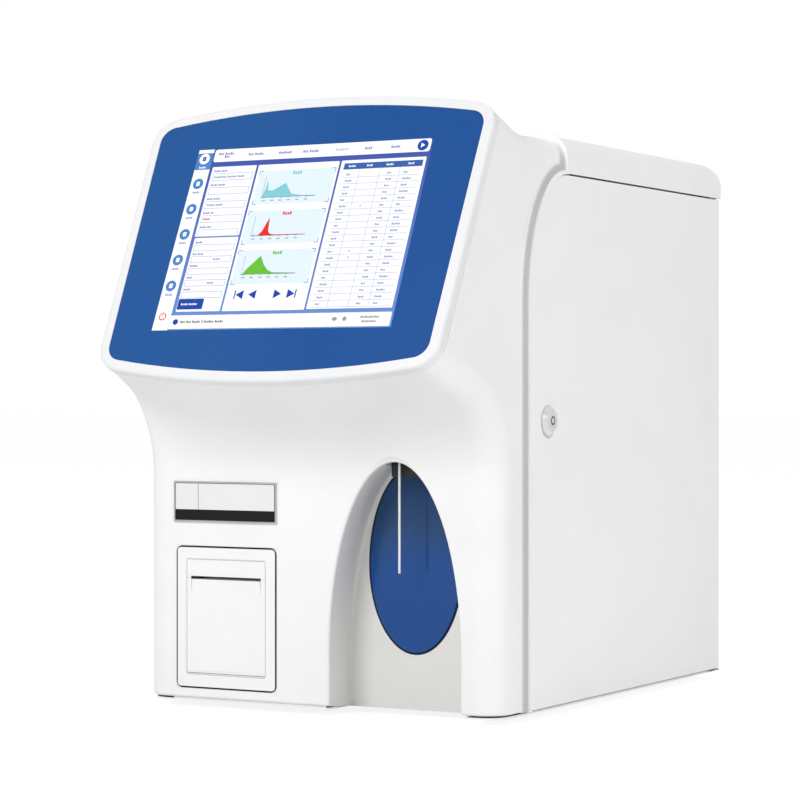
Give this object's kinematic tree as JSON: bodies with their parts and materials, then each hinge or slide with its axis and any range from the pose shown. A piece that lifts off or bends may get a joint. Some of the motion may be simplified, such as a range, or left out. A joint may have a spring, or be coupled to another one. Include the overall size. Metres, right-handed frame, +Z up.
{
  "type": "blood cell analyser",
  "caption": "Bench analyser with a tilted touch screen, a sample niche with needle and press key, a panel printer and a lockable side door.",
  "frame": {"origin": "middle of the footprint on the bench", "axes": "+Z up, -Y towards the operator, +X to the operator's right"},
  "size_m": [0.3318, 0.5166, 0.4779],
  "materials": {
    "aluminium": "satin anodised",
    "board_green": "green solder resist",
    "brass": "plated brass",
    "cabinet_paint": "pale grey powder coat, fine",
    "chrome": "plated",
    "clear": "clear borosilicate",
    "galvanised": "zinc-coated sheet",
    "housing_white": "smooth white moulding, satin gloss",
    "key_blue": "polished blue key",
    "lcd_black": "black display module",
    "motor_black": "black motor can",
    "niche_grey": "pale grey moulding",
    "panel_blue": "back-printed blue touch glass, gloss",
    "paper": "thermal paper",
    "plastic_black": "black moulding",
    "plastic_natural": "natural acetal",
    "rubber_black": "moulded rubber",
    "steel": "ground stainless steel"
  },
  "bodies": {
    "cabinet": {"rubber_feet": "rubber_black", "base_tray": "cabinet_paint", "bulkhead": "galvanised", "lock_keeper": "galvanised", "middle_wall": "galvanised", "side_frames": "galvanised", "front_housing": "housing_white", "case_screws": "steel", "top_cover": "cabinet_paint", "left_panel": "cabinet_paint", "rear_panel": "cabinet_paint", "display_bezel": "housing_white", "touch_glass": "panel_blue", "lcd_module": "lcd_black", "display_bracket": "galvanised", "display_board": "board_green", "notice_plate": "aluminium", "niche_liner": "niche_grey", "key_springs": "steel", "key_switch": "plastic_black", "probe_frame": "galvanised", "guide_rods": "steel", "probe_motor": "motor_black", "wash_block": "plastic_natural", "printer_frame": "housing_white", "thermal_head": "aluminium", "tear_bar": "housing_white", "hinge_pins": "steel", "fan_frame": "plastic_black", "fan_guard": "chrome", "mains_inlet": "plastic_black", "power_supply": "galvanised", "main_board": "board_green", "data_sockets": "steel", "fluid_connectors": "plastic_natural", "ground_stud": "brass", "syringe_frame": "aluminium", "syringe_barrels": "clear", "syringe_motor": "motor_black", "waste_pump": "plastic_black", "vacuum_pump": "motor_black", "bath_block": "plastic_natural", "counting_baths": "clear", "solenoid_valves": "plastic_black"},
    "side_door": {"side_door": "cabinet_paint", "door_lock": "chrome"},
    "lock_core": {"lock_plug": "chrome"},
    "printer_door": {"printer_door": "housing_white"},
    "platen": {"platen_roller": "rubber_black"},
    "paper": {"paper_roll": "paper"},
    "key": {"aspirate_key": "key_blue"},
    "probe": {"probe_carriage": "aluminium", "probe_needle": "steel"},
    "probe_screw": {"probe_screw": "steel"},
    "syringes": {"syringe_carriage": "aluminium"},
    "syringe_screw": {"syringe_screw": "steel"},
    "waste_rotor": {"waste_rotor": "plastic_natural"},
    "fan_rotor": {"fan_rotor": "plastic_black"},
    "power_switch": {"power_switch": "plastic_black"},
    "fuse_drawer": {"fuse_drawer": "plastic_black"}
  },
  "joints": [
    {"name": "side_door_hinge", "type": "hinge", "parent": "cabinet", "child": "side_door", "pos_m": [0.1586, 0.2394, 0.2], "axis": [0, 0, 1], "range_deg": [0, 110]},
    {"name": "lock_turn", "type": "hinge", "parent": "side_door", "child": "lock_core", "pos_m": [0.162, -0.0972, 0.228], "axis": [1, 0, 0], "range_deg": [0, 90]},
    {"name": "printer_door_hinge", "type": "hinge", "parent": "cabinet", "child": "printer_door", "pos_m": [-0.0826, -0.1718, 0.03], "axis": [1, 0, 0], "range_deg": [0, 85]},
    {"name": "platen_spin", "type": "hinge", "parent": "printer_door", "child": "platen", "pos_m": [-0.0826, -0.1667, 0.097], "axis": [1, 0, 0], "continuous": true},
    {"name": "paper_spin", "type": "hinge", "parent": "cabinet", "child": "paper", "pos_m": [-0.0826, -0.1452, 0.04125], "axis": [1, 0, 0], "continuous": true},
    {"name": "aspirate_key_press", "type": "slide", "parent": "cabinet", "child": "key", "axis": [0, 1, 0], "range_m": [0, 0.0025], "stiffness_N_per_m": 400, "springref_m": -0.002, "deforming": ["key_springs"]},
    {"name": "probe_lift", "type": "slide", "parent": "cabinet", "child": "probe", "axis": [0, 0, 1], "range_m": [0, 0.085]},
    {"name": "probe_screw_spin", "type": "hinge", "parent": "cabinet", "child": "probe_screw", "pos_m": [0.0736, -0.1112, 0.25], "axis": [0, 0, 1], "range_deg": [-2551, 1]},
    {"name": "syringe_drive", "type": "slide", "parent": "cabinet", "child": "syringes", "axis": [0, 0, 1], "range_m": [0, 0.045]},
    {"name": "syringe_screw_spin", "type": "hinge", "parent": "cabinet", "child": "syringe_screw", "pos_m": [0.0226, 0.0528, 0.19], "axis": [0, 0, 1], "range_deg": [-2026, 1]},
    {"name": "waste_pump_spin", "type": "hinge", "parent": "cabinet", "child": "waste_rotor", "pos_m": [0.0666, 0.1368, 0.18], "axis": [1, 0, 0], "continuous": true},
    {"name": "fan_spin", "type": "hinge", "parent": "cabinet", "child": "fan_rotor", "pos_m": [-0.0864, 0.2288, 0.33], "axis": [0, 1, 0], "continuous": true},
    {"name": "power_switch_rock", "type": "hinge", "parent": "cabinet", "child": "power_switch", "pos_m": [-0.1114, 0.2393, 0.1], "axis": [1, 0, 0], "range_deg": [0, 14]},
    {"name": "fuse_drawer_slide", "type": "slide", "parent": "cabinet", "child": "fuse_drawer", "axis": [0, 1, 0], "range_m": [0, 0.016]}
  ],
  "couplings": [
    {"joint": "probe_screw_spin", "follows": "probe_lift", "rad_per_m": -523.6},
    {"joint": "syringe_screw_spin", "follows": "syringe_drive", "rad_per_m": -785.4},
    {"joint": "platen_spin", "follows": "paper_spin", "ratio": -3.8}
  ]
}
